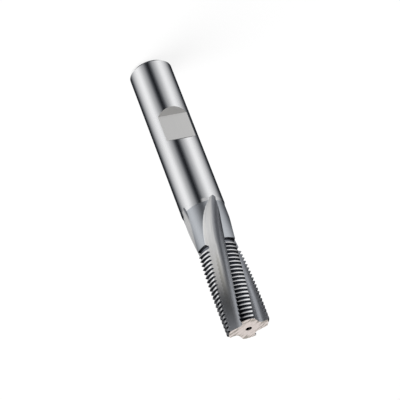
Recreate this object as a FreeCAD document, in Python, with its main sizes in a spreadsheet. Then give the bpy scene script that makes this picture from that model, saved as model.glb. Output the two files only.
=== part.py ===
import FreeCAD, Part
import math
import os

import Sketcher
from FreeCAD import Placement, Rotation, Vector

# A solid carbide thread mill, ground from one rod.
# The origin is the centre of the shank's end face and +Z runs along the axis to
# the cutting tip, so the tool stands on its shank end.  Lengths are millimetres
# and angles are degrees.

SIZES = {
    # rod and shank
    "overall_length": 84.0,
    "shank_diameter": 12.0,
    "shank_length": 48.0,
    "shank_chamfer": 0.9,
    "coolant_diameter": 1.5,
    # clamping flat on the -Y side: its height is measured from the far side
    "flat_centre": 22.5,
    "flat_length": 8.0,
    "flat_height": 10.4,
    "flat_rear_angle": 45.0,
    "flat_front_angle": 12.0,
    # plain neck between the shank and the teeth
    "neck_diameter": 11.6,
    # ground head and its annular teeth
    "cutting_diameter": 11.9,
    "first_crest": 0.74,
    "tooth_pitch": 1.15,
    "tooth_angle": 60.0,
    "crest_width": 0.144,
    "root_width": 0.144,
    "neck_gap": 1.6,
    # each land is relieved about an axis of its own, which stands this far off
    # the tool's axis and this many degrees ahead of the cutting edge
    "relief_offset": 0.75,
    "relief_lead": 50.0,
    # flutes
    "helix_angle": 10.0,
    "edge_bearing": -56.5,
    "core_diameter": 6.7,
    "rake_angle": 8.0,
    "gullet_radius": 1.5,
    "flute_length": 25.0,
    "wheel_radius": 32.0,
}

TOOTH_COUNT = 20
FLUTE_COUNT = 4
HEAD_SECTIONS = 7
EXIT_SECTIONS = 7

# How far the grinding passes run on past the metal.
CLEAR = 1.0
EXIT_CLEAR = 0.2
HEEL_CLEAR = 0.9
LIP = 0.05

# The relief of the lands stops this far short of the neck, inside the last space.
RELIEF_STOP = 0.3

doc = FreeCAD.newDocument("ThreadMill")
sheet = doc.addObject("Spreadsheet::Sheet", "Sizes")
for row, (name, value) in enumerate(SIZES.items(), start=1):
    sheet.set("A%d" % row, name)
    sheet.set("B%d" % row, repr(value))
    sheet.setAlias("B%d" % row, name)
doc.recompute()


def cell(name):
    """Name a size in an expression."""
    assert name in SIZES
    return "Sizes." + name


# Radii and other sizes that several features share, as expressions.
SHANK_RADIUS = "(%s / 2)" % cell("shank_diameter")
NECK_RADIUS = "(%s / 2)" % cell("neck_diameter")
CUT_RADIUS = "(%s / 2)" % cell("cutting_diameter")
CORE_RADIUS = "(%s / 2)" % cell("core_diameter")
TIP = cell("overall_length")

RELIEF_X = "(%s * cos(%s * 1 deg))" % (cell("relief_offset"), cell("relief_lead"))
RELIEF_Y = "(%s * sin(%s * 1 deg))" % (cell("relief_offset"), cell("relief_lead"))
LAND_RADIUS = "sqrt(pow(%s - %s; 2) + pow(%s; 2))" % (CUT_RADIUS, RELIEF_X, RELIEF_Y)

HALF_TANGENT = "tan(%s / 2 * 1 deg)" % cell("tooth_angle")
SPACE_WIDTH = "(%s - %s)" % (cell("tooth_pitch"), cell("crest_width"))
TOOTH_DEPTH = "((%s - %s) / 2 / %s)" % (SPACE_WIDTH, cell("root_width"), HALF_TANGENT)

# Degrees that the flutes turn in one millimetre of length, right-handed.
TWIST = "(tan(%s * 1 deg) / %s * 180 / pi)" % (cell("helix_angle"), CUT_RADIUS)

# The last crest, and the edge where the plain neck begins behind it.
LAST_CREST = "(%s - %s - %d * %s)" % (
    TIP, cell("first_crest"), TOOTH_COUNT - 1, cell("tooth_pitch"))
NECK_EDGE = "(%s - %s)" % (LAST_CREST, cell("neck_gap"))
HEAD_START = "(%s + %g)" % (NECK_EDGE, RELIEF_STOP)


def measure(text):
    """Work out an expression's value."""
    value = sheet.evalExpression(text)
    return float(getattr(value, "Value", value))


def bearing(height):
    """Bearing of the first cutting edge at a height, as an expression."""
    return "(%s - %s * (%s - %s))" % (cell("edge_bearing"), TWIST, TIP, height)


def origin_feature(body, role):
    """Return one of a body's own origin planes or axes."""
    return [item for item in body.Origin.OriginFeatures if item.Role == role][0]


def sketch_on(body, name, role):
    """Add a sketch on an origin plane of its body."""
    sketch = body.newObject("Sketcher::SketchObject", name)
    sketch.AttachmentSupport = [(origin_feature(body, role), "")]
    sketch.MapMode = "FlatFace"
    return sketch


def bind(sketch, kind, geometry, point, text):
    """Drive a point's distance from the sketch's origin by an expression."""
    number = sketch.addConstraint(
        Sketcher.Constraint(kind, -1, 1, geometry, point, measure(text)))
    sketch.setExpression("Constraints[%d]" % number, text)


def polygon(sketch, corners):
    """Draw a closed polygon whose corners are pairs of expressions."""
    spots = [Vector(measure(across), measure(along), 0) for across, along in corners]
    count = len(spots)
    for index in range(count):
        sketch.addGeometry(Part.LineSegment(spots[index], spots[(index + 1) % count]), False)
    for index in range(count):
        following = (index + 1) % count
        sketch.addConstraint(Sketcher.Constraint("Coincident", index, 2, following, 1))
    for index, (across, along) in enumerate(corners):
        bind(sketch, "DistanceX", index, 1, across)
        bind(sketch, "DistanceY", index, 1, along)


def place_section(sketch, height):
    """Lift a section to its height and turn it with the helix."""
    sketch.setExpression("AttachmentOffset.Base.z", height)
    sketch.setExpression("AttachmentOffset.Rotation.Angle", bearing(height))


def around_axis(body, feature, name):
    """Repeat a ground feature at every flute."""
    pattern = body.newObject("PartDesign::PolarPattern", name)
    pattern.Originals = [feature]
    pattern.Axis = (origin_feature(body, "Z_Axis"), [""])
    pattern.Angle = 360
    pattern.Occurrences = FLUTE_COUNT
    pattern.Refine = False
    body.Tip = pattern
    doc.recompute()
    return pattern


# The rod: a chamfered shank, whose wall is drawn in two runs that meet at the middle
# of the clamping flat, the thinner neck, the stock that the teeth are ground from,
# which is as thick as the shank, and the coolant bore.
body = doc.addObject("PartDesign::Body", "GroundRod")

rod_profile = sketch_on(body, "RodProfile", "XZ_Plane")
BORE_RADIUS = "(%s / 2)" % cell("coolant_diameter")
SHOULDER = "(%s - %s)" % (SHANK_RADIUS, NECK_RADIUS)
polygon(rod_profile, [
    (BORE_RADIUS, "0"),
    ("%s - %s" % (SHANK_RADIUS, cell("shank_chamfer")), "0"),
    (SHANK_RADIUS, cell("shank_chamfer")),
    (SHANK_RADIUS, cell("flat_centre")),
    (SHANK_RADIUS, "%s - %s" % (cell("shank_length"), SHOULDER)),
    (NECK_RADIUS, cell("shank_length")),
    (NECK_RADIUS, HEAD_START),
    (SHANK_RADIUS, HEAD_START),
    (SHANK_RADIUS, TIP),
    (BORE_RADIUS, TIP),
])
rod = body.newObject("PartDesign::Revolution", "Rod")
rod.Profile = rod_profile
rod.ReferenceAxis = (origin_feature(body, "Z_Axis"), [""])
rod.Angle = 360
rod.Refine = False
doc.recompute()

# The clamping flat is a notch with a steep front wall and a sloping rear wall.
flat_profile = sketch_on(body, "FlatProfile", "YZ_Plane")
FLAT_FACE = "(%s - %s)" % (SHANK_RADIUS, cell("flat_height"))
NOTCH_DEPTH = "(%s + %s - %s + %g)" % (SHANK_RADIUS, SHANK_RADIUS, cell("flat_height"), CLEAR)
FLAT_REAR = "(%s - %s / 2)" % (cell("flat_centre"), cell("flat_length"))
FLAT_FRONT = "(%s + %s / 2)" % (cell("flat_centre"), cell("flat_length"))
polygon(flat_profile, [
    (FLAT_FACE, FLAT_REAR),
    (FLAT_FACE, FLAT_FRONT),
    ("%s - %s" % (FLAT_FACE, NOTCH_DEPTH),
     "%s + %s * tan(%s * 1 deg)" % (FLAT_FRONT, NOTCH_DEPTH, cell("flat_front_angle"))),
    ("%s - %s" % (FLAT_FACE, NOTCH_DEPTH),
     "%s - %s * tan(%s * 1 deg)" % (FLAT_REAR, NOTCH_DEPTH, cell("flat_rear_angle"))),
])
clamping_flat = body.newObject("PartDesign::Pocket", "ClampingFlat")
clamping_flat.Profile = flat_profile
clamping_flat.SideType = "Symmetric"
clamping_flat.setExpression("Length", "%s + %g" % (cell("shank_diameter"), CLEAR))
clamping_flat.Refine = False
doc.recompute()

# The flutes.  One section of the grinding pass is a notch: the straight
# rake face comes in from the cutting edge, the gullet rounds the corner and a
# straight floor runs out to the heel of the next land.  In the section's own plane
# the cutting edge lies on +X and the flute opens towards +Y.

FLUTE_TOP = "(%s + %g)" % (SHANK_RADIUS, CLEAR)
FLUTE_WALL = "(%s + 2 * %g)" % (SHANK_RADIUS, CLEAR)


def flute_section(name, height, lift):
    """Draw the notch at a height, moved out from the axis by its lift."""
    sketch = sketch_on(body, name, "XY_Plane")
    wall = "(%s + %s)" % (FLUTE_WALL, lift)
    floor = "(%s + %s)" % (CORE_RADIUS, lift)
    slope = "tan(%s * 1 deg)" % cell("rake_angle")
    rake_start = "((%s - %s) * %s)" % (FLUTE_WALL, CUT_RADIUS, slope)
    outer, inner = measure(wall), measure(floor)
    start, top = measure(rake_start), measure(FLUTE_TOP)
    radius = measure(cell("gullet_radius"))
    rake = math.radians(measure(cell("rake_angle")))
    # the gullet's centre lies one radius from the floor and from the rake face
    centre_x = inner + radius
    centre_y = start - (outer - centre_x) * math.tan(rake) + radius / math.cos(rake)
    centre = Vector(centre_x, centre_y, 0)
    touch = centre + Vector(math.sin(rake), -math.cos(rake), 0) * radius
    circle = Part.Circle(centre, Vector(0, 0, 1), radius)
    gullet = Part.ArcOfCircle(circle, math.pi, math.pi * 1.5 + rake)
    sketch.addGeometry(Part.LineSegment(Vector(outer, start, 0), touch), False)
    sketch.addGeometry(gullet, False)
    sketch.addGeometry(
        Part.LineSegment(Vector(inner, centre_y, 0), Vector(inner, top, 0)), False)
    sketch.addGeometry(Part.LineSegment(Vector(inner, top, 0), Vector(outer, top, 0)), False)
    sketch.addGeometry(Part.LineSegment(Vector(outer, top, 0), Vector(outer, start, 0)), False)
    sketch.addConstraint([
        Sketcher.Constraint("Tangent", 0, 2, 1, 2),
        Sketcher.Constraint("Tangent", 1, 1, 2, 1),
        Sketcher.Constraint("Coincident", 2, 2, 3, 1),
        Sketcher.Constraint("Coincident", 3, 2, 4, 1),
        Sketcher.Constraint("Coincident", 4, 2, 0, 1),
        Sketcher.Constraint("Vertical", 2),
        Sketcher.Constraint("Horizontal", 3),
        Sketcher.Constraint("Vertical", 4),
    ])
    bind(sketch, "DistanceX", 0, 1, wall)
    bind(sketch, "DistanceY", 0, 1, rake_start)
    bind(sketch, "DistanceX", 2, 2, floor)
    bind(sketch, "DistanceY", 2, 2, FLUTE_TOP)
    number = sketch.addConstraint(Sketcher.Constraint("Radius", 1, radius))
    sketch.setExpression("Constraints[%d]" % number, cell("gullet_radius"))
    number = sketch.addConstraint(Sketcher.Constraint("Angle", -1, 1, 0, 1, math.pi + rake))
    sketch.setExpression("Constraints[%d]" % number, "180 deg + %s * 1 deg" % cell("rake_angle"))
    place_section(sketch, height)
    return sketch


# The pass keeps its depth along the head, then the wheel lifts out of the rod
# on a circle of its own radius and leaves the leaf-shaped end of the flute.
EXIT_RISE = "(%s - %s + %g)" % (SHANK_RADIUS, CORE_RADIUS, EXIT_CLEAR)
EXIT_RUN = "sqrt(2 * %s * %s - pow(%s; 2))" % (cell("wheel_radius"), EXIT_RISE, EXIT_RISE)

flute_sections = []
for index in range(HEAD_SECTIONS):
    share = index / (HEAD_SECTIONS - 1)
    height = "(%s + %g - %.6f * (%s + %g))" % (
        TIP, CLEAR, share, cell("flute_length"), CLEAR)
    flute_sections.append(flute_section("Flute%02d" % index, height, "0"))
for index in range(1, EXIT_SECTIONS + 1):
    run = "(%.6f * %s)" % (index / EXIT_SECTIONS, EXIT_RUN)
    lift = "(%s - sqrt(pow(%s; 2) - pow(%s; 2)))" % (
        cell("wheel_radius"), cell("wheel_radius"), run)
    height = "(%s - %s - %s)" % (TIP, cell("flute_length"), run)
    flute_sections.append(flute_section("Exit%02d" % index, height, lift))
doc.recompute()

flute = body.newObject("PartDesign::SubtractiveLoft", "Flute")
flute.Profile = flute_sections[0]
flute.Sections = flute_sections[1:]
flute.Ruled = False
flute.Refine = False
doc.recompute()
around_axis(body, flute, "Flutes")


# The relief of the lands, from the tip to the space behind the last tooth.
def relief_section(name, height):
    """Draw what is ground off a land at a height: all outside its own circle."""
    sketch = sketch_on(body, name, "XY_Plane")
    radius = measure(LAND_RADIUS)
    centre = Vector(measure(RELIEF_X), measure(RELIEF_Y), 0)
    ahead = "(%s / 2)" % CORE_RADIUS
    behind = "(0 - %s - %g)" % (CORE_RADIUS, HEEL_CLEAR)
    outer = measure(FLUTE_WALL)
    high, low = measure(ahead), measure(behind)
    rise, fall = high - centre.y, low - centre.y
    first = math.asin(fall / radius)
    last = math.asin(rise / radius)
    start = centre + Vector(math.cos(first), math.sin(first), 0) * radius
    end = centre + Vector(math.cos(last), math.sin(last), 0) * radius
    circle = Part.Circle(centre, Vector(0, 0, 1), radius)
    sketch.addGeometry(Part.ArcOfCircle(circle, first + 2 * math.pi, last + 2 * math.pi), False)
    sketch.addGeometry(Part.LineSegment(end, Vector(outer, high, 0)), False)
    sketch.addGeometry(Part.LineSegment(Vector(outer, high, 0), Vector(outer, low, 0)), False)
    sketch.addGeometry(Part.LineSegment(Vector(outer, low, 0), start), False)
    sketch.addConstraint([
        Sketcher.Constraint("Coincident", 0, 2, 1, 1),
        Sketcher.Constraint("Coincident", 1, 2, 2, 1),
        Sketcher.Constraint("Coincident", 2, 2, 3, 1),
        Sketcher.Constraint("Coincident", 3, 2, 0, 1),
        Sketcher.Constraint("Horizontal", 1),
        Sketcher.Constraint("Vertical", 2),
        Sketcher.Constraint("Horizontal", 3),
    ])
    bind(sketch, "DistanceX", 0, 3, RELIEF_X)
    bind(sketch, "DistanceY", 0, 3, RELIEF_Y)
    bind(sketch, "DistanceX", 1, 2, FLUTE_WALL)
    bind(sketch, "DistanceY", 1, 2, ahead)
    bind(sketch, "DistanceY", 2, 2, behind)
    number = sketch.addConstraint(Sketcher.Constraint("Radius", 0, radius))
    sketch.setExpression("Constraints[%d]" % number, LAND_RADIUS)
    place_section(sketch, height)
    return sketch


relief_sections = []
for index in range(HEAD_SECTIONS):
    share = index / (HEAD_SECTIONS - 1)
    height = "(%s + %g - %.6f * (%s + %g - %s))" % (
        TIP, CLEAR, share, TIP, CLEAR, HEAD_START)
    relief_sections.append(relief_section("Relief%02d" % index, height))
doc.recompute()

relief = body.newObject("PartDesign::SubtractiveLoft", "Relief")
relief.Profile = relief_sections[0]
relief.Sections = relief_sections[1:]
relief.Ruled = False
relief.Refine = False
doc.recompute()
around_axis(body, relief, "Reliefs")

# The spaces between the annular teeth.  A space is a V with a narrow floor.  It is
# swept about its land's own relief axis, so crest and root both fall away behind
# the cutting edge.
SPACE_START = 3.5
SPACE_SWEEP = 73.0


def space_outline(name, upper_half, lower_half):
    """Draw a space: x is measured from the relief axis, y from the floor's middle."""
    sketch = doc.addObject("Sketcher::SketchObject", name)
    floor = "(%s - %s)" % (LAND_RADIUS, TOOTH_DEPTH)
    lip = "(%s + %g)" % (LAND_RADIUS, LIP)
    outside = "(%s + %g)" % (LAND_RADIUS, CLEAR)
    flare = "((%s + %g) * %s)" % (TOOTH_DEPTH, LIP, HALF_TANGENT)
    polygon(sketch, [
        (floor, "0 - %s" % lower_half),
        (lip, "0 - %s - %s" % (lower_half, flare)),
        (outside, "0 - %s - %s" % (lower_half, flare)),
        (outside, "%s + %s" % (upper_half, flare)),
        (lip, "%s + %s" % (upper_half, flare)),
        (floor, upper_half),
    ])
    sketch.Placement = Placement(Vector(0, 0, 0), Rotation(Vector(1, 0, 0), 90))
    return sketch


def grind_space(outline, name, height, flute_index):
    """Sweep one space over one land at its height."""
    edge = "(%s + %g)" % (bearing(height), 360 / FLUTE_COUNT * flute_index)
    axis_bearing = "((%s + %s) * 1 deg)" % (edge, cell("relief_lead"))
    space = doc.addObject("Part::Revolution", name)
    space.Source = outline
    space.Axis = Vector(0, 0, -1)
    space.Base = Vector(0, 0, 0)
    space.Angle = SPACE_SWEEP
    space.Solid = True
    space.setExpression("Placement.Base.x", "%s * cos(%s)" % (cell("relief_offset"), axis_bearing))
    space.setExpression("Placement.Base.y", "%s * sin(%s)" % (cell("relief_offset"), axis_bearing))
    space.setExpression("Placement.Base.z", height)
    space.setExpression("Placement.Rotation.Angle", "%s + %g" % (edge, SPACE_START))
    return space


HALF_ROOT = "(%s / 2)" % cell("root_width")
NECK_FLOOR = "(%s - 2 * %s * %s - %s / 2)" % (
    cell("neck_gap"), TOOTH_DEPTH, HALF_TANGENT, cell("crest_width"))
tooth_space = space_outline("ToothSpace", HALF_ROOT, HALF_ROOT)
neck_space = space_outline("NeckSpace", "(%s / 2)" % NECK_FLOOR, "(%s / 2)" % NECK_FLOOR)
doc.recompute()

spaces = []
for flute_index in range(FLUTE_COUNT):
    for tooth in range(TOOTH_COUNT):
        height = "(%s - %s - %.1f * %s)" % (
            TIP, cell("first_crest"), tooth - 0.5, cell("tooth_pitch"))
        name = "Space%d_%02d" % (flute_index, tooth)
        spaces.append(grind_space(tooth_space, name, height, flute_index))
    middle = "(%s - %s / 2 - (%s - %s / 2) / 2)" % (
        LAST_CREST, cell("crest_width"), cell("neck_gap"), cell("crest_width"))
    spaces.append(grind_space(neck_space, "NeckSpace%d" % flute_index, middle, flute_index))
doc.recompute()

all_spaces = doc.addObject("Part::Compound", "AllSpaces")
all_spaces.Links = spaces
doc.recompute()

thread_mill = doc.addObject("Part::Cut", "ThreadMill")
thread_mill.Label = "thread_mill"
thread_mill.Base = body
thread_mill.Tool = all_spaces
thread_mill.Refine = False
doc.recompute()

# Every object is checked, then the part is written.
for item in doc.Objects:
    if "Invalid" in item.State or "Error" in item.State:
        raise RuntimeError("%s failed: %s" % (item.Name, item.State))

os.makedirs("parts", exist_ok=True)
for node in (thread_mill,):
    if node.Shape.isNull() or not node.Shape.isValid():
        raise RuntimeError("%s has no valid shape" % node.Label)
    if len(node.Shape.Solids) != 1:
        raise RuntimeError("%s isn't one solid" % node.Label)
    node.Shape.exportStep("parts/%s.step" % node.Label)
    print(node.Label, "volume", round(node.Shape.Volume, 2), "faces", len(node.Shape.Faces))
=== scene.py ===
import math

import bpy
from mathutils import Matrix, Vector


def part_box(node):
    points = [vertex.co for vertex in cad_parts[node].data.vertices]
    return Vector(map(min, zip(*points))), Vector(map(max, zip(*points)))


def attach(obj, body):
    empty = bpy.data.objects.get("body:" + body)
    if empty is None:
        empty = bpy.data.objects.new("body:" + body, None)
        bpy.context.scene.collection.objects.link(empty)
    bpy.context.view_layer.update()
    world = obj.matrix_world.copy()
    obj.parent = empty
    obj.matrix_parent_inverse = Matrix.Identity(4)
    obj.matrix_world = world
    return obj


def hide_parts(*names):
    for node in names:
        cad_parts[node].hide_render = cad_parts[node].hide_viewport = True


# A solid carbide thread mill: its finishes, its body, the studio and the camera.
# The scene is in metres. The body's own sizes are in millimetres and radians.

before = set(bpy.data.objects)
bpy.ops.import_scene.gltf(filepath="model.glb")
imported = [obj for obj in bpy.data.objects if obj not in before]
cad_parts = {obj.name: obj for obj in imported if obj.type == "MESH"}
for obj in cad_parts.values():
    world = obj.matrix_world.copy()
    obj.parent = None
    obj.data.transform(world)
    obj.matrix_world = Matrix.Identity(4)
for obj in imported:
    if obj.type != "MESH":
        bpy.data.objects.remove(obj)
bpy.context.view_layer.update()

MM = 0.001
MICRON = 0.000001
QUARTER_TURN = math.pi / 2

# The tool's sizes, as its source has them. The overall length and the shank's radius
# come from the frame. The shoulder, the space relief and the flat's front angle follow
# the photograph.
LOW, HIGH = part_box("thread_mill")
SIZES = {
    "overall length": (HIGH.z - LOW.z) / MM,
    "shank radius": (HIGH.x - LOW.x) / MM / 2,
    "shank length": 48.0,
    "shoulder": 0.8,
    "shank chamfer": 0.9,
    "coolant radius": 0.75,
    "neck radius": 5.8,
    "cutting radius": 5.95,
    "first crest": 0.74,
    "tooth pitch": 1.15,
    "crest width": 0.144,
    "root width": 0.144,
    "neck gap": 1.6,
    "relief offset": 0.75,
    "relief lead": math.radians(50.0),
    "space relief": 0.35,
    "helix angle": math.radians(10.0),
    "edge bearing": math.radians(-56.5),
    "core radius": 3.35,
    "rake angle": math.radians(8.0),
    "gullet radius": 1.5,
    "flute length": 25.0,
    "wheel radius": 32.0,
    "flat centre": 22.5,
    "flat length": 8.0,
    "flat depth": 1.6,
    "flat rear angle": math.radians(45.0),
    "flat front angle": math.radians(38.0),
}
TOOTH_COUNT = 20
FLUTE_COUNT = 4
FLANK_TANGENT = math.tan(math.radians(30.0))

# No flute reaches below this height, so all rows below it have the same section.
PLAIN_HEIGHT = 45.2

# The coolant hole's mouths have a narrow rim of their own, and the end face a ring. For
# each flute the ring's points start at one angle and fan out over an angle each for the
# rake, the gullet, the floor and the land.
RIM_WIDTH = 0.12
RING_RADIUS = 3.0
RING_START = math.radians(-12.0)
RING_FAN = [math.radians(turn) for turn in (3.0, 31.0, 30.0, 26.0)]

# How much of the flanks the crests may take up where they grow wider.
WIDEST_CREST = 0.9

# The lands' relief begins this far above the neck. From there the stock stands clear
# outside the shank, so that the relief alone cuts the lands.
RELIEF_GAP = 0.3
STOCK_EXCESS = 1.0

# How far the notch for the flat stands out of the shank, and its width over the shank's
# radius.
NOTCH_EXCESS = 1.0
NOTCH_WIDTH = 2.4

# A face looks squarely one way when its normal points more than this much there.
SQUARELY = 0.9

# Joints between faces that bend by more than this look crisp.
CRISP_ANGLE = math.radians(28.0)
MERGE_DISTANCE = 0.2 * MICRON

# How finely each stretch of a section is divided, from the cutting edge round to the
# next one.
RAKE_STEPS = 5
GULLET_STEPS = 10
FLOOR_STEPS = 6
LAND_STEPS = 24
FLUTE_STEPS = RAKE_STEPS + GULLET_STEPS + FLOOR_STEPS
ROUND_STEPS = FLUTE_STEPS + LAND_STEPS

# The rows of the body's grid start in the tip's bore, run over the end face, down the
# teeth, the neck and the shank, and back up the bore to where they began.
FLANK_STEPS = 3
NECK_ROWS = 26
SHANK_ROWS = 20
PLAIN_ROWS = 8
BORE_ROWS = 10
RIM_ROW = 1
RING_ROW = 2
TIP_ROW = 3
LEAD_ROW = TIP_ROW + 1
TOOTH_ROWS = 2 + 2 * FLANK_STEPS
TEETH_END = LEAD_ROW + TOOTH_COUNT * TOOTH_ROWS
GAP_ROW = TEETH_END + 1
STEP_ROW = GAP_ROW + FLANK_STEPS
NECK_ROW = STEP_ROW + 1
SHOULDER_ROW = NECK_ROW + NECK_ROWS
SHANK_ROW = SHOULDER_ROW + 1
PLAIN_ROW = SHANK_ROW + SHANK_ROWS
CHAMFER_ROW = PLAIN_ROW + PLAIN_ROWS
BACK_ROW = CHAMFER_ROW + 1
BACK_RIM_ROW = BACK_ROW + 1
BORE_ROW = BACK_RIM_ROW + 1
PLAIN_BORE_ROW = BORE_ROW + 1
LAST_ROW = PLAIN_BORE_ROW + BORE_ROWS

# Rows, columns and finishes are whole numbers. A test for what lies past one of them is
# half a step off, two of them are the same when they lie near, and a floor or an end has
# a hair's room against rounding.
HALF_STEP = 0.5
NEAR = 0.1
HAIR = 0.001

# What the finishes know of a point of the flutes: its share of the way across, from the
# cutting edge to the heel, and its share of the way to the tip, which starts and runs
# these many millimetres below it.
RAKE_SHARE = 0.25
GULLET_SHARE = 0.35
FLOOR_SHARE = 0.4
TIPWARD_START = 14.0
TIPWARD_RUN = 12.0


class Value:
    """A node's output that can stand in sums."""

    def __init__(self, tree, socket):
        self.tree = tree
        self.socket = socket

    def math(self, operation, *values):
        inputs = dict(enumerate((self,) + values))
        return self.tree.add("ShaderNodeMath", {"operation": operation}, inputs)

    def __add__(self, other):
        return self.math("ADD", other)

    def __sub__(self, other):
        return self.math("SUBTRACT", other)

    def __rsub__(self, other):
        return (self * -1) + other

    def __mul__(self, other):
        return self.math("MULTIPLY", other)

    def __truediv__(self, other):
        return self.math("DIVIDE", other)

    def __rtruediv__(self, other):
        return self.math("POWER", -1) * other

    def __pow__(self, other):
        return self.math("POWER", other)

    def __gt__(self, other):
        return self.math("GREATER_THAN", other)

    def __lt__(self, other):
        return self.math("LESS_THAN", other)

    __radd__ = __add__
    __rmul__ = __mul__


class Tree:
    """A node tree that is written a node at a time."""

    def __init__(self, tree):
        self.nodes = tree.nodes
        self.links = tree.links

    def add(self, kind, settings=None, inputs=None, output=0):
        """Add a node: its settings come first, then the values or links of its sockets."""
        node = self.nodes.new(kind)
        for name, value in (settings or {}).items():
            if name == "stops":
                fill_ramp(node.color_ramp, value)
            else:
                setattr(node, name, value)
        for name, value in (inputs or {}).items():
            if isinstance(value, Value):
                self.links.new(value.socket, node.inputs[name])
            else:
                node.inputs[name].default_value = value
        return Value(self, node.outputs[output]) if output is not None else None


def fill_ramp(ramp, stops):
    """Give a colour ramp its stops, which are pairs of a place and a colour."""
    ends = [ramp.elements[0], ramp.elements[1]]
    for end, (place, tone) in zip(ends, (stops[0], stops[-1])):
        end.position = place
        end.color = (*tone, 1.0)
    for place, tone in stops[1:-1]:
        ramp.elements.new(place).color = (*tone, 1.0)


def clamped(value, low=0.0, high=1.0):
    return value.math("MAXIMUM", low).math("MINIMUM", high)


def share(value, start, run):
    """How much of a run that begins at the start lies behind a value, from 0 to 1."""
    return clamped((value - start) / run)


def within(value, start, rise, end, fall):
    """1 inside a stretch and 0 outside, with a soft edge where it rises and falls.
    A stretch with no start or no end is open on that side."""
    if start is None:
        return 1 - share(value, end, fall)
    if end is None:
        return share(value, start, rise)
    return share(value, start, rise) * (1 - share(value, end, fall))


def choose(condition, first, second):
    """The first value where the condition is 1 and the second where it is 0."""
    return (first - second) * condition + second


def choose_point(condition, first, second):
    return tuple(choose(condition, one, other) for one, other in zip(first, second))


def between(first, last, along):
    """The point at a share of the way from the first point to the last."""
    return tuple(start + (end - start) * along for start, end in zip(first, last))


def cosine(value):
    return value.math("COSINE")


def sine(value):
    return value.math("SINE")


def root(value):
    return value.math("MAXIMUM", 0.0).math("SQRT")


def parts(tree, vector):
    """The three numbers of a vector."""
    return [tree.add("ShaderNodeSeparateXYZ", None, {0: vector}, axis) for axis in range(3)]


# Finishes


def in_body(tree):
    """A point's place in the body's own space, in metres."""
    return tree.add("ShaderNodeTexCoord", output="Object")


def noise_at(tree, place, detail, roughness):
    return tree.add("ShaderNodeTexNoise", None, {
        "Vector": place, "Scale": 1.0, "Detail": detail, "Roughness": roughness})


def grain(tree, per_metre, detail=2.0, roughness=0.5, turn=0.0):
    """Noise with its own number of grains per metre each way, turned round the axis."""
    place = in_body(tree)
    if turn:
        place = tree.add("ShaderNodeMapping", None, {
            "Vector": place, "Rotation": (0.0, 0.0, turn)})
    place = tree.add("ShaderNodeVectorMath", {"operation": "MULTIPLY"}, {0: place, 1: per_metre})
    return noise_at(tree, place, detail, roughness)


def guide(tree, name):
    return tree.add("ShaderNodeAttribute", {"attribute_name": name}, output="Fac")


def blend(tree, factor, first, second):
    """A colour between two, at a factor from 0 to 1."""
    colours = [value if isinstance(value, Value) else (*value, 1.0) for value in (first, second)]
    # sockets 6 and 7 of a mix node take its colours, and output 2 gives one
    return tree.add("ShaderNodeMix", {"data_type": "RGBA"},
                    {0: factor, 6: colours[0], 7: colours[1]}, 2)


def fine_relief(tree, height, depth):
    """A normal from fine heights; the depth is in metres."""
    return tree.add("ShaderNodeBump", None, {"Distance": depth, "Height": height})


def ground(tree, marks, dark, light, gloss, spread, depth=None, shade=None):
    """A ground surface. The marks show in its colour, unless a shade does, and they
    roughen its gloss by the spread and, with a depth, its normal."""
    look = {"Base Color": blend(tree, marks if shade is None else shade, dark, light),
            "Roughness": gloss + marks * spread}
    if depth:
        look["Normal"] = fine_relief(tree, marks, depth)
    return look


def describe_shank(tree):
    """Polished in the round, with faint clouds."""
    clouds = grain(tree, (160, 160, 60))
    rings = grain(tree, (30, 30, 9000), detail=3.0, roughness=0.7)
    return ground(tree, rings, dark=(0.56, 0.56, 0.565), light=(0.66, 0.655, 0.65),
                  gloss=0.11, spread=0.08, depth=0.5 * MICRON, shade=clouds)


def describe_shank_end(tree):
    marks = grain(tree, (2500, 2500, 400), detail=3.0)
    return ground(tree, marks, dark=(0.48, 0.48, 0.485), light=(0.60, 0.595, 0.59),
                  gloss=0.28, spread=0.12)


def describe_flat(tree):
    """Ground along the tool, a little warmer than the shank."""
    lines = grain(tree, (6000, 200, 120), detail=3.0)
    return ground(tree, lines, dark=(0.60, 0.59, 0.575), light=(0.67, 0.66, 0.64),
                  gloss=0.26, spread=0.10, depth=0.6 * MICRON)


def describe_rear_wall(tree):
    marks = grain(tree, (3000, 1500, 1500))
    return ground(tree, marks, dark=(0.42, 0.42, 0.42), light=(0.50, 0.495, 0.49),
                  gloss=0.30, spread=0.1)


def describe_front_wall_painted_shade(tree):
    """The narrow corner that the cutter left, dark with painted shade where the corner lies in
    shadow.
    """
    marks = grain(tree, (3000, 1500, 1500))
    return ground(tree, marks, dark=(0.05, 0.05, 0.055), light=(0.11, 0.11, 0.115),
                  gloss=0.42, spread=0.1)


def describe_neck(tree):
    """Duller than the shank and blue-grey, with fine rings round it."""
    rings = grain(tree, (60, 60, 7000), detail=3.0, roughness=0.65)
    return ground(tree, rings, dark=(0.36, 0.375, 0.395), light=(0.48, 0.495, 0.515),
                  gloss=0.33, spread=0.10, depth=0.8 * MICRON)


# Near-black: painted shade down the coolant hole, not the carbide's own colour.
def describe_bore_painted_shade(tree):
    marks = grain(tree, (1500, 1500, 300))
    return ground(tree, marks, dark=(0.05, 0.05, 0.052), light=(0.10, 0.10, 0.10),
                  gloss=0.5, spread=0.1)


# The painted shade in the spaces between the teeth, and how deep a space is, as a share of its
# whole depth, where that painted shade covers it.
SPACE_PAINTED_SHADE = (0.12, 0.125, 0.14)
PAINTED_SHADE_DEPTH = 0.10


def describe_teeth(tree):
    """Bright crests over spaces that painted shade keeps dark."""
    marks = grain(tree, (900, 900, 900), detail=3.0)
    look = ground(tree, marks, dark=(0.58, 0.58, 0.58), light=(0.68, 0.675, 0.67),
                  gloss=0.15, spread=0.10)
    # painted shade darkens the spaces below their crests
    sunk = share(guide(tree, "sunk"), 0.0, PAINTED_SHADE_DEPTH)
    look["Base Color"] = blend(tree, sunk, look["Base Color"], SPACE_PAINTED_SHADE)
    return look
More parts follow.
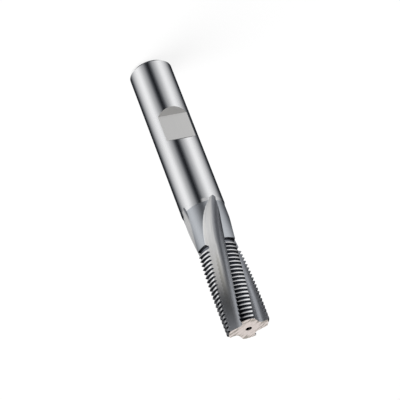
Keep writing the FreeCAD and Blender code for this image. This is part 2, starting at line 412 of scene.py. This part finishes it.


# A flute's tones, how much of what lies below some of them cover, and where they lie
# across the flute and, in metres, along the tool. Some tones are painted light: a painted
# highlight on the floor's middle heights and along both edges, painted shade on the floor
# near the tip, and a gullet made lighter near the tip by painted light. A pair says where a
# tone begins to show and how far it takes to come in, and four numbers also say how it ends.
FLUTE_TONES = {
    "gullet": (0.36, 0.37, 0.395),
    "gullet's painted light at tip": (0.43, 0.44, 0.465),
    "floor's dark grain": (0.56, 0.565, 0.57),
    "floor's light grain": (0.70, 0.68, 0.65),
    "floor's painted highlight": (0.90, 0.88, 0.84),
    "floor's painted shade at tip": (0.12, 0.13, 0.16),
    "streak": (0.36, 0.34, 0.26),
    "lines": (0.25, 0.255, 0.26),
    "edges": (0.86, 0.86, 0.86),
}
FLUTE_COVERS = {"floor's painted highlight": 0.8, "floor's painted shade at tip": 0.65, "lines": 0.40, "edges": 0.6}
FLOOR_ACROSS = (0.52, 0.16)
HIGHLIGHT_HEIGHTS = (0.0605, 0.006, 0.073, 0.006)
STREAK_ACROSS = 0.74
OFF_STREAK = (0.02, 0.07)
STREAK_HEIGHTS = (0.062, 0.004)
LINES_ACROSS = 26
LINES_PER_METRE = 60
LINES_CONTRAST = (0.3, 0.4)
HEEL_HIGHLIGHT = (0.96, 0.04)
CUTTING_EDGE_HIGHLIGHT = (0.0, 0.03)


def describe_flute(tree):
    """Ground lengthwise: light on the floor and slate in the gullet. Painted shade darkens the
    floor near the tip and painted light brightens the gullet there; painted highlights lie on the
    floor's middle heights and along both edges.
    """
    across, tipward = guide(tree, "across"), guide(tree, "tipward")
    height = parts(tree, in_body(tree))[2]
    track = tree.add("ShaderNodeCombineXYZ", None, {
        "X": across * LINES_ACROSS, "Y": height * LINES_PER_METRE})
    lines = share(noise_at(tree, track, 4.0, 0.7), *LINES_CONTRAST)
    wide = grain(tree, (700, 700, 40))
    floor = share(across, *FLOOR_ACROSS)

    def cover(tone, name, place):
        return blend(tree, place * FLUTE_COVERS.get(name, 1.0), tone, FLUTE_TONES[name])

    light = blend(tree, wide, FLUTE_TONES["floor's dark grain"], FLUTE_TONES["floor's light grain"])
    # a painted highlight lightens the floor over a stretch of heights
    light = cover(light, "floor's painted highlight", within(height, *HIGHLIGHT_HEIGHTS))
    # painted light brightens the gullet towards the tip
    slate = blend(tree, tipward, FLUTE_TONES["gullet"], FLUTE_TONES["gullet's painted light at tip"])
    tone = blend(tree, floor, slate, light)
    off_streak = (across - STREAK_ACROSS).math("ABSOLUTE")
    streak = (1 - share(off_streak, *OFF_STREAK)) * (1 - tipward)
    tone = cover(tone, "streak", streak * share(height, *STREAK_HEIGHTS) * wide)
    # painted shade darkens the floor towards the tip
    tone = cover(tone, "floor's painted shade at tip", tipward * floor)
    tone = cover(tone, "lines", lines)
    # painted highlights: bright lines along the heel and the cutting edge
    edge = share(across, *HEEL_HIGHLIGHT) + (1 - share(across, *CUTTING_EDGE_HIGHLIGHT))
    return {
        "Base Color": cover(tone, "edges", edge),
        "Roughness": 0.50 - floor * 0.20 + lines * 0.1,
        "Normal": fine_relief(tree, lines, 2 * MICRON)}


# The end face's streaks are turned this far round the axis, and lie mostly where the
# lobes begin to show, in metres from the axis.
STREAK_TURN = math.radians(-59.0)
LOBE_REACH = (0.0024, 0.001)
LOBE_SHARE = 0.85
STREAK_CONTRAST = (0.47, 0.09)


def describe_end_face(tree):
    """Ground across, with darker streaks on the lobes round a lighter middle."""
    streaks = grain(tree, (330, 1250, 0), detail=3.0, roughness=0.6, turn=STREAK_TURN)
    level = tree.add("ShaderNodeVectorMath", {"operation": "MULTIPLY"},
                     {0: in_body(tree), 1: (1, 1, 0)})
    reach = tree.add("ShaderNodeVectorMath", {"operation": "LENGTH"}, {0: level}, 1)
    lobes = share(reach, *LOBE_REACH) * LOBE_SHARE + (1 - LOBE_SHARE)
    stripe = share(streaks, *STREAK_CONTRAST) * lobes
    return ground(tree, streaks, dark=(0.71, 0.645, 0.62), light=(0.34, 0.315, 0.28),
                  gloss=0.34, spread=0.08, shade=stripe)


FINISHES = {
    "end_face": describe_end_face,
    "coolant_bore_painted_shade": describe_bore_painted_shade,
    "flute": describe_flute,
    "teeth": describe_teeth,
    "neck": describe_neck,
    "shank": describe_shank,
    "shank_end": describe_shank_end,
    "clamping_flat": describe_flat,
    "flat_rear_wall": describe_rear_wall,
    "flat_front_wall_painted_shade": describe_front_wall_painted_shade,
}


def number_of(finish):
    return list(FINISHES).index(finish)


def make_finish(name, describe):
    material = bpy.data.materials.new(name)
    material.use_nodes = True
    material.node_tree.nodes.clear()
    tree = Tree(material.node_tree)
    inputs = {"Metallic": 1.0}
    inputs.update(describe(tree))
    surface = tree.add("ShaderNodeBsdfPrincipled", None, inputs)
    tree.add("ShaderNodeOutputMaterial", None, {"Surface": surface}, None)
    return material


# Body


class Section:
    """Where a column lies in the section, which starts again at each cutting edge."""

    def __init__(self, column):
        self.flute = (column / ROUND_STEPS).math("FLOOR")
        place = column - self.flute * ROUND_STEPS
        self.along_rake = share(place, 0, RAKE_STEPS)
        self.along_gullet = share(place, RAKE_STEPS, GULLET_STEPS)
        self.along_floor = share(place, RAKE_STEPS + GULLET_STEPS, FLOOR_STEPS)
        self.along_land = share(place, FLUTE_STEPS, LAND_STEPS)
        self.on_rake = place < RAKE_STEPS + HALF_STEP
        self.on_floor = place > RAKE_STEPS + GULLET_STEPS + HALF_STEP
        self.on_land = place > FLUTE_STEPS - HALF_STEP

    def across(self):
        """The share of the way across a flute."""
        return (self.along_rake * RAKE_SHARE + self.along_gullet * GULLET_SHARE
                + self.along_floor * FLOOR_SHARE)

    def ring_angle(self):
        """The angle of a column's point on the end face's ring."""
        stretches = (self.along_rake, self.along_gullet, self.along_floor, self.along_land)
        turns = [along * turn for along, turn in zip(stretches, RING_FAN)]
        return turns[0] + turns[1] + turns[2] + turns[3] + RING_START


class LandRelief:
    """A land's back lies on a circle set off from the axis, so it falls away from the
    cutting edge to the heel."""

    def __init__(self, size):
        self.cutting = size["cutting radius"]
        self.offset = size["relief offset"]
        self.lead = size["relief lead"]
        self.centre_x = self.offset * cosine(self.lead)
        self.centre_y = self.offset * sine(self.lead)
        self.radius = root((self.cutting - self.centre_x) ** 2 + self.centre_y ** 2)
        heel_angle = self.over(size["core radius"]).math("ARCTAN2", size["core radius"])
        self.land_width = QUARTER_TURN - heel_angle

    def reach(self, angle):
        """How far the land lies from the axis, at an angle from its cutting edge."""
        behind = angle - self.lead
        rest = self.radius ** 2 - (self.offset * sine(behind)) ** 2
        return self.offset * cosine(behind) + root(rest)

    def fall(self, angle):
        """How much nearer to the axis that is than the cutting edge."""
        return self.cutting - self.reach(angle)

    def over(self, floor_x):
        """How far the land reaches over a floor at a distance from the axis."""
        return root(self.radius ** 2 - (floor_x + self.centre_y) ** 2) + self.centre_x


class ToothForm:
    """A tooth and its space as they are at the cutting edge, and where they end."""

    def __init__(self, size):
        self.pitch = size["tooth pitch"]
        self.half_crest = size["crest width"] / 2
        self.half_root = size["root width"] / 2
        self.flank = self.pitch / 2 - self.half_crest - self.half_root
        self.space_depth = self.flank / FLANK_TANGENT
        self.first_crest = size["overall length"] - size["first crest"]
        self.last_crest = self.first_crest - self.pitch * (TOOTH_COUNT - 1)
        self.neck_edge = self.last_crest - size["neck gap"]

    def depth(self, height):
        """How deep the spaces are at a height."""
        off_crest = ((self.first_crest - height) / self.pitch).math("WRAP", 0.5, -0.5)
        depth = (off_crest.math("ABSOLUTE") * self.pitch - self.half_crest) / FLANK_TANGENT
        last_edge = self.last_crest - self.half_crest
        depth = choose(height < last_edge, (last_edge - height) / FLANK_TANGENT, depth)
        depth = depth.math("MINIMUM", (height - self.neck_edge) / FLANK_TANGENT)
        return depth.math("MAXIMUM", 0.0).math("MINIMUM", self.space_depth)


class FluteForm:
    """A flute's rake, gullet and floor at a height, with the cutting edge at angle 0."""

    def __init__(self, size, height):
        tip = size["overall length"]
        level = height.math("MAXIMUM", PLAIN_HEIGHT)
        run_out = (tip - size["flute length"] - level).math("MAXIMUM", 0.0)
        wheel = size["wheel radius"]
        lift = wheel - root(wheel ** 2 - run_out ** 2)
        turn = (tip - level) * (size["helix angle"].math("TANGENT") / size["cutting radius"])
        self.bearing = size["edge bearing"] - turn
        self.slope = size["rake angle"].math("TANGENT")
        self.gullet = size["gullet radius"]
        self.floor_x = size["core radius"] + lift
        self.edge_x = size["cutting radius"] + lift
        self.centre_x = self.floor_x + self.gullet
        self.centre_y = ((self.centre_x - self.edge_x) * self.slope
                         + self.gullet / cosine(size["rake angle"]))
        self.direction = self.centre_y.math("ARCTAN2", self.centre_x)
        self.touch_angle = size["rake angle"] + math.pi * 1.5

    def on_rake(self, radius):
        """Where the rake meets a circle round the axis."""
        rise = self.edge_x * self.slope
        half = self.slope * rise
        stretch = self.slope ** 2 + 1.0
        x = (half + root(half ** 2 - stretch * (rise ** 2 - radius ** 2))) / stretch
        return x, (x - self.edge_x) * self.slope

    def on_gullet(self, angle):
        return (self.centre_x + self.gullet * cosine(angle),
                self.centre_y + self.gullet * sine(angle))

    def gullet_ends(self, stock):
        """The angles between which the gullet's arc lies in the stock."""
        distance = root(self.centre_x ** 2 + self.centre_y ** 2)
        opening = distance ** 2 + self.gullet ** 2 - stock ** 2
        opening = clamped(opening / (distance * self.gullet * 2), -1.0, 1.0).math("ARCCOSINE")
        start = self.touch_angle.math("MINIMUM", self.direction + opening + math.pi)
        end = (self.direction - opening + math.pi).math("MAXIMUM", math.pi)
        return start, end


def rows_below_teeth(size, form):
    """The runs of rows below the teeth: the first row, how many, and how far down."""
    gap_top = form.last_crest - form.half_crest - form.flank
    gap_floor = form.neck_edge + form.flank
    shank_run = size["shank length"] - size["shoulder"] - PLAIN_HEIGHT
    return [
        (TEETH_END, 1, gap_top - gap_floor),
        (GAP_ROW, FLANK_STEPS, form.flank),
        (NECK_ROW, NECK_ROWS, form.neck_edge - size["shank length"]),
        (SHOULDER_ROW, 1, size["shoulder"]),
        (SHANK_ROW, SHANK_ROWS, shank_run),
        (PLAIN_ROW, PLAIN_ROWS, PLAIN_HEIGHT - size["shank chamfer"]),
        (CHAMFER_ROW, 1, size["shank chamfer"]),
        (BACK_RIM_ROW, 1, -RIM_WIDTH),
        (BORE_ROW, 1, RIM_WIDTH - PLAIN_HEIGHT),
        (PLAIN_BORE_ROW, BORE_ROWS, PLAIN_HEIGHT + RIM_WIDTH - size["overall length"]),
    ]


def height_of_row(size, form, row, widening):
    """The height of a row: the tip's, less what the rows above it take up."""
    in_teeth = clamped(row - LEAD_ROW, 0.0, TOOTH_COUNT * TOOTH_ROWS - HAIR)
    tooth = (in_teeth / TOOTH_ROWS).math("FLOOR")
    step = in_teeth - tooth * TOOTH_ROWS
    side = form.flank - widening
    fall = (form.half_root * 2) * share(step, 0, 1) + side * share(step, 1, FLANK_STEPS)
    fall = fall + (form.half_crest + widening) * 2 * share(step, 1 + FLANK_STEPS, 1)
    fall = fall + side * share(step, 2 + FLANK_STEPS, FLANK_STEPS)
    lead = size["first crest"] - form.pitch / 2 - form.half_root
    height = size["overall length"] - lead * share(row, TIP_ROW, 1) - form.pitch * tooth - fall
    for start, count, length in rows_below_teeth(size, form):
        height = height - share(row, start, count) * length
    return height - (row < HALF_STEP) * RIM_WIDTH


def turned_radius(size, row):
    """The radius of the neck and the shank, without any flute."""
    growth = (size["shank radius"] - size["neck radius"]) * share(row, SHOULDER_ROW, 1)
    radius = size["neck radius"] + growth
    return radius - size["shank chamfer"] * share(row, CHAMFER_ROW, 1)


def point_of_section(size, section, relief, flute, stock, land_radius, in_head, in_relief):
    """Where a column's point lies in the section, from the stock that the flutes are cut
    in and the radius that the tooth spaces leave."""
    rake = flute.on_rake(stock.math("MINIMUM", land_radius))
    arc_start, arc_end = flute.gullet_ends(stock)
    first, last = flute.on_gullet(arc_start), flute.on_gullet(arc_end)
    has_rake = rake[0] > flute.centre_x + flute.gullet * cosine(flute.touch_angle)
    start = choose_point(has_rake, rake, first)

    space_relief = size["space relief"] * in_head
    space_heel = land_radius - relief.fall(relief.land_width * -1) * space_relief
    space_heel = space_heel.math("MINIMUM", stock)
    heel_y = root(space_heel ** 2 - flute.floor_x ** 2)
    heel_y = heel_y.math("MINIMUM", choose(in_relief, relief.over(flute.floor_x), stock))
    end = choose_point(heel_y > last[1], (flute.floor_x, heel_y), last)

    start_angle = start[1].math("ARCTAN2", start[0])
    end_angle = end[1].math("ARCTAN2", end[0])
    land_angle = end_angle + (start_angle + QUARTER_TURN - end_angle) * section.along_land
    crest = relief.reach(land_angle - QUARTER_TURN)
    space = land_radius - (relief.cutting - crest) * space_relief
    land = choose(in_relief, crest, stock).math("MINIMUM", space)

    gullet = flute.on_gullet(arc_start + (arc_end - arc_start) * section.along_gullet)
    point = choose_point(section.on_rake, between(start, first, section.along_rake), gullet)
    point = choose_point(section.on_floor, between(last, end, section.along_floor), point)
    on_land = (land * cosine(land_angle), land * sine(land_angle))
    return choose_point(section.on_land, on_land, point)


def with_ends(size, section, flute, row, reach, angle):
    """Put the end face's ring and the bore's rows on circles of their own."""
    at_ring = (row > RIM_ROW + HALF_STEP) * (row < RING_ROW + HALF_STEP)
    at_rim = (row < RIM_ROW + HALF_STEP) + (row > BACK_ROW + HALF_STEP)
    in_bore = (row < HALF_STEP) + (row > BACK_RIM_ROW + HALF_STEP)
    rim = size["coolant radius"] + RIM_WIDTH * (1 - in_bore)
    rim_angle = flute.direction + section.along_land * QUARTER_TURN
    reach = choose(at_rim, rim, choose(at_ring, RING_RADIUS, reach))
    angle = choose(at_rim, rim_angle, choose(at_ring, section.ring_angle(), angle))
    return reach, angle


def shape_of_body(tree, size, column, row):
    """Work out where a point of the grid lies, from its column and its row."""
    section = Section(column)
    relief = LandRelief(size)
    form = ToothForm(size)

    # behind the edge the spaces fall away less than the crests do, so the crests grow
    # wider towards the heel
    fallen = relief.fall(relief.land_width * (section.along_land - 1))
    lost = fallen * (1 - size["space relief"]) * section.on_land
    widening = (lost * FLANK_TANGENT).math("MINIMUM", form.flank * WIDEST_CREST)
    height = height_of_row(size, form, row, widening)
    depth = form.depth(height)

    in_head = row < NECK_ROW - HALF_STEP
    in_relief = height > form.neck_edge + RELIEF_GAP
    turned = turned_radius(size, row)
    stock = choose(in_relief, size["shank radius"] + STOCK_EXCESS, turned)
    land_radius = choose(in_head, size["cutting radius"] - depth, turned)
    flute = FluteForm(size, height)
    x, y = point_of_section(size, section, relief, flute, stock, land_radius, in_head, in_relief)

    # nothing of a flute that has left the metal stands out of it
    reach = root(x ** 2 + y ** 2).math("MINIMUM", stock)
    angle = y.math("ARCTAN2", x)
    reach, angle = with_ends(size, section, flute, row, reach, angle)
    angle = angle + flute.bearing + section.flute * QUARTER_TURN
    position = tree.add("ShaderNodeCombineXYZ", None, {
        "X": reach * cosine(angle) * MM, "Y": reach * sine(angle) * MM, "Z": height * MM})
    return position, {
        "across": section.across(),
        "sunk": (depth - lost) / form.space_depth * in_head,
        "tipward": share(height, size["overall length"] - TIPWARD_START, TIPWARD_RUN),
    }


def finish_of_faces(column, row):
    """Number the finish of each face by the middle of its place in the grid."""
    flute = (column / ROUND_STEPS).math("FLOOR")
    on_land = column - flute * ROUND_STEPS > FLUTE_STEPS
    outside = (row > TIP_ROW) * (row < CHAMFER_ROW)
    is_flute = outside * (1 - on_land) * (row < PLAIN_ROW)
    is_land = outside * (1 - is_flute)
    in_bore = (row < RIM_ROW) + (row > BACK_RIM_ROW)
    number = in_bore * number_of("coolant_bore_painted_shade")
    number = number + is_flute * number_of("flute")
    number = number + is_land * (row < STEP_ROW) * number_of("teeth")
    is_neck = (row > STEP_ROW) * (row < SHOULDER_ROW)
    number = number + is_land * is_neck * number_of("neck")
    number = number + is_land * (row > SHOULDER_ROW) * number_of("shank")
    is_back = (row > CHAMFER_ROW) * (row < BACK_RIM_ROW)
    return number + is_back * number_of("shank_end")


def store(tree, geometry, name, value, domain="POINT"):
    settings = {"data_type": "FLOAT", "domain": domain}
    inputs = {"Geometry": geometry, "Name": name, "Value": value}
    return tree.add("GeometryNodeStoreNamedAttribute", settings, inputs)


def stored(tree, name):
    return tree.add("GeometryNodeInputNamedAttribute", {"data_type": "FLOAT"}, {"Name": name})


def grow_turned_body(tree, size):
    """Bend a grid into the body's skin, with its finishes and its guides for them."""
    columns = FLUTE_COUNT * ROUND_STEPS + 1
    rows = LAST_ROW + 1
    grid = tree.add("GeometryNodeMeshGrid", None, {
        "Size X": 1.0, "Size Y": 1.0, "Vertices X": columns, "Vertices Y": rows})
    index = tree.add("GeometryNodeInputIndex")
    column = (index / rows + HAIR).math("FLOOR")
    grid = store(tree, grid, "column", column)
    grid = store(tree, grid, "row", index - column * rows)
    column, row = stored(tree, "column"), stored(tree, "row")
    position, guides = shape_of_body(tree, size, column, row)
    for name, value in guides.items():
        grid = store(tree, grid, name, value)
    grid = store(tree, grid, "finish", finish_of_faces(column, row), "FACE")
    body = tree.add("GeometryNodeSetPosition", None, {"Geometry": grid, "Position": position})
    body = tree.add("GeometryNodeMergeByDistance", None, {
        "Geometry": body, "Distance": MERGE_DISTANCE})
    return tree.add("GeometryNodeFlipFaces", None, {"Mesh": body})


def grow_notch(tree, size):
    """The space that the clamping flat leaves, longer outside than at its bottom."""
    block = tree.add("GeometryNodeMeshCube")
    x, y, z = parts(tree, tree.add("GeometryNodeInputPosition"))
    rise = (0.5 - y) * (size["flat depth"] + NOTCH_EXCESS)
    half = size["flat length"] / 2
    front_end = size["flat centre"] + half + rise * size["flat front angle"].math("TANGENT")
    rear_end = size["flat centre"] - half - rise * size["flat rear angle"].math("TANGENT")
    position = tree.add("ShaderNodeCombineXYZ", None, {
        "X": x * size["shank radius"] * NOTCH_WIDTH * MM,
        "Y": (size["flat depth"] - size["shank radius"] - rise) * MM,
        "Z": choose(z > 0.0, front_end, rear_end) * MM})
    normal = parts(tree, tree.add("GeometryNodeInputNormal"))
    inward, tipward = normal[1] > SQUARELY, normal[2] > SQUARELY
    finish = inward * number_of("clamping_flat")
    # the front wall takes the dark finish of painted shade
    finish = finish + tipward * number_of("flat_front_wall_painted_shade")
    finish = finish + (1 - inward - tipward) * number_of("flat_rear_wall")
    block = store(tree, block, "finish", finish, "FACE")
    return tree.add("GeometryNodeSetPosition", None, {"Geometry": block, "Position": position})


def on_edge_line(tree):
    """Pick the lines along the cutting edges and the heels, which are always crisp."""
    column, row = stored(tree, "column"), stored(tree, "row")
    place = column - (column / ROUND_STEPS + HAIR).math("FLOOR") * ROUND_STEPS
    on_line = (place < NEAR) + place.math("COMPARE", float(FLUTE_STEPS), NEAR)
    return on_line * (row < PLAIN_ROW)


def body_group(finishes):
    """The node group that grows the whole tool from its sizes."""
    group = bpy.data.node_groups.new("thread mill body", "GeometryNodeTree")
    panel = group.interface
    panel.new_socket("Geometry", in_out="INPUT", socket_type="NodeSocketGeometry")
    panel.new_socket("Geometry", in_out="OUTPUT", socket_type="NodeSocketGeometry")
    for name in SIZES:
        panel.new_socket(name, in_out="INPUT", socket_type="NodeSocketFloat")
    tree = Tree(group)
    size = {name: tree.add("NodeGroupInput", output=name) for name in SIZES}
    body = grow_turned_body(tree, size)
    notch = grow_notch(tree, size)
    body = tree.add("GeometryNodeMeshBoolean", {"operation": "DIFFERENCE", "solver": "EXACT"},
                    {"Mesh 1": body, "Mesh 2": notch})
    body = tree.add("GeometryNodeSetShadeSmooth", {"domain": "FACE"},
                    {"Geometry": body, "Shade Smooth": True})
    angle = tree.add("GeometryNodeInputMeshEdgeAngle")
    body = tree.add("GeometryNodeSetShadeSmooth", {"domain": "EDGE"}, {
        "Geometry": body, "Selection": (angle > CRISP_ANGLE) + on_edge_line(tree),
        "Shade Smooth": False})
    body = tree.add("GeometryNodeRealizeInstances", None, {"Geometry": body})
    number = stored(tree, "finish")
    for index, material in enumerate(finishes):
        # the first finish covers every face, and the others replace it
        chosen = number.math("COMPARE", float(index), NEAR) if index else True
        body = tree.add("GeometryNodeSetMaterial", None, {
            "Geometry": body, "Selection": chosen, "Material": material})
    tree.add("NodeGroupOutput", None, {"Geometry": body}, None)
    return group


def build_body():
    """Grow the tool and keep it as a plain mesh at the origin."""
    finishes = [make_finish(name, describe) for name, describe in FINISHES.items()]
    seed = bpy.data.meshes.new("seed")
    grower = bpy.data.objects.new("grower", seed)
    bpy.context.scene.collection.objects.link(grower)
    modifier = grower.modifiers.new("body", "NODES")
    modifier.node_group = body_group(finishes)
    for item in modifier.node_group.interface.items_tree:
        if item.in_out == "INPUT" and item.name in SIZES:
            modifier[item.identifier] = SIZES[item.name]
    grown = grower.evaluated_get(bpy.context.evaluated_depsgraph_get())
    mesh = bpy.data.meshes.new_from_object(grown)
    bpy.data.objects.remove(grower)
    mesh.name = "thread_mill_body"
    body = bpy.data.objects.new("thread_mill_body", mesh)
    bpy.context.scene.collection.objects.link(body)
    return body


# Studio

# The camera as it was fitted to the photograph: its place, its turn in degrees, its
# bearing round the tool, and its lens and sensor in millimetres.
CAMERA_PLACE = (0.1261036, -0.3662315, 0.2640112)
CAMERA_TURN = (-58.6729, -18.1898, -171.7316)
CAMERA_BEARING = math.radians(-71.0)
LENS = 151.54
SENSOR = 36.0

# The tall panels round the tool, from behind it to in front of it as the camera sees it:
# pairs of a facing, which is the cosine of the bearing from the camera, and a brightness.
PANELS = [
    (-1.0, 0.11), (-0.91, 0.02), (-0.81, 0.015), (-0.67, 0.08), (-0.5, 0.33), (-0.31, 0.62),
    (-0.10, 0.90), (0.10, 1.14), (0.31, 1.34), (0.5, 1.36), (0.67, 1.10), (0.81, 0.74),
    (0.914, 0.48), (0.978, 0.13), (1.0, 0.02)]

# A ramp's colours end at 1, so it holds the panels at a share of their brightness.
RAMP_GAIN = 2.0

# The panels' dim parts are cooler than their bright ones. The share of red that a part
# loses is the first number over its brightness and the second, and it gains the last
# number times that share of blue.
COOLING = 0.012
COOLING_OFFSET = 0.08
BLUE_PER_RED = 1.8

# What hangs over and stands in front of the panels, each over the ones before it: a tone
# and, for the height, the facing and the side of a direction, where the piece starts,
# how far it rises, where it begins to fall, and how far it falls.
HANGINGS = {
    "ceiling": {"tone": (0.018, 0.020, 0.025), "height": (0.14, 0.17, None, None)},
    "backdrop": {"tone": (1.42, 1.40, 1.38), "height": (0.22, 0.12, 0.62, 0.15),
                 "facing": (None, None, -0.92, 0.10)},
    "low panel": {"tone": (0.80, 0.80, 0.81), "height": (-0.46, 0.10, -0.24, 0.08),
                  "facing": (0.72, 0.15, None, None), "side": (None, None, -0.28, 0.20)},
    "hoods": {"tone": (1.15, 1.14, 1.12), "height": (0.64, 0.08, 0.90, 0.06),
              "facing": (0.20, 0.15, 0.88, 0.08)},
}

FLOOR_HALF = 1.5
FLOOR_GLOW = 0.88
LAMP_PLACE = (0.25, 0.2, 0.7)
LAMP_AIM = (0.0, 0.0, 0.04)
LAMP_SIZE = 0.5
LAMP_POWER = 9.0


def tinted(brightness):
    """A panel's colour, which is the bluer the dimmer it is."""
    cool = COOLING / (brightness + COOLING_OFFSET)
    tone = (brightness * (1 - cool), brightness, brightness * (1 + BLUE_PER_RED * cool))
    return [part / RAMP_GAIN for part in tone]


def directions(tree):
    """The height, the facing and the side of the direction that a ray leaves in."""
    x, y, height = parts(tree, tree.add("ShaderNodeTexCoord", output="Generated"))
    # it divides, so it stays off zero
    level = root(x ** 2 + y ** 2).math("MAXIMUM", 0.0001)
    front_x, front_y = math.cos(CAMERA_BEARING), math.sin(CAMERA_BEARING)
    facing = (x * front_x + y * front_y) / level
    side = (y * front_x - x * front_y) / level
    return {"height": height, "facing": facing, "side": side}


def light_studio():
    """Tall soft panels stand round the tool; the camera sees only white."""
    world = bpy.data.worlds.new("studio")
    bpy.context.scene.world = world
    world.use_nodes = True
    world.node_tree.nodes.clear()
    tree = Tree(world.node_tree)
    way = directions(tree)
    stops = [((facing + 1) / 2, tinted(brightness)) for facing, brightness in PANELS]
    seen = tree.add("ShaderNodeValToRGB", {"stops": stops}, {0: way["facing"] * 0.5 + 0.5})
    seen = tree.add("ShaderNodeVectorMath", {"operation": "SCALE"}, {0: seen, "Scale": RAMP_GAIN})
    for hanging in HANGINGS.values():
        cover = 1.0
        for name in way:
            if name in hanging:
                cover = within(way[name], *hanging[name]) * cover
        seen = blend(tree, cover, seen, hanging["tone"])
    camera = tree.add("ShaderNodeLightPath", output="Is Camera Ray")
    seen = blend(tree, camera, seen, (1.0, 1.0, 1.0))
    light = tree.add("ShaderNodeBackground", None, {"Color": seen, "Strength": 1.0})
    tree.add("ShaderNodeOutputWorld", None, {"Surface": light}, None)


def floor_paint():
    material = bpy.data.materials.new("floor")
    material.use_nodes = True
    material.node_tree.nodes.clear()
    tree = Tree(material.node_tree)
    paint = tree.add("ShaderNodeBsdfDiffuse", None, {"Color": (0.8, 0.8, 0.8, 1.0)})
    glow = tree.add("ShaderNodeEmission", None, {"Color": (1.0, 1.0, 1.0, 1.0), "Strength": 1.0})
    surface = tree.add("ShaderNodeMixShader", None, {0: FLOOR_GLOW, 1: paint, 2: glow})
    tree.add("ShaderNodeOutputMaterial", None, {"Surface": surface}, None)
    return material


def lay_floor():
    """A white floor that keeps a faint shadow and isn't mirrored in the tool."""
    corners = [(x * FLOOR_HALF, y * FLOOR_HALF, 0) for x, y in ((-1, -1), (1, -1), (1, 1), (-1, 1))]
    mesh = bpy.data.meshes.new("floor")
    mesh.from_pydata(corners, [], [(0, 1, 2, 3)])
    mesh.materials.append(floor_paint())
    floor = bpy.data.objects.new("floor", mesh)
    bpy.context.scene.collection.objects.link(floor)
    floor.visible_glossy = False


def hang_lamp():
    """A soft lamp for the floor's shadow, which the tool doesn't mirror."""
    light = bpy.data.lights.new("soft box", "AREA")
    light.shape = "DISK"
    light.size = LAMP_SIZE
    light.energy = LAMP_POWER
    lamp = bpy.data.objects.new("soft box", light)
    lamp.location = LAMP_PLACE
    aim = Vector(LAMP_AIM) - Vector(LAMP_PLACE)
    lamp.rotation_euler = aim.to_track_quat("-Z", "Y").to_euler()
    lamp.visible_glossy = False
    bpy.context.scene.collection.objects.link(lamp)


def set_camera():
    lens = bpy.data.cameras.new("camera")
    lens.lens = LENS
    lens.sensor_width = SENSOR
    lens.clip_start = 0.01
    camera = bpy.data.objects.new("camera", lens)
    camera.location = CAMERA_PLACE
    camera.rotation_euler = [math.radians(turn) for turn in CAMERA_TURN]
    bpy.context.scene.collection.objects.link(camera)
    bpy.context.scene.camera = camera


body = build_body()
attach(body, "root")
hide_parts("thread_mill")
light_studio()
lay_floor()
hang_lamp()
set_camera()
bpy.context.scene.view_settings.view_transform = "Standard"
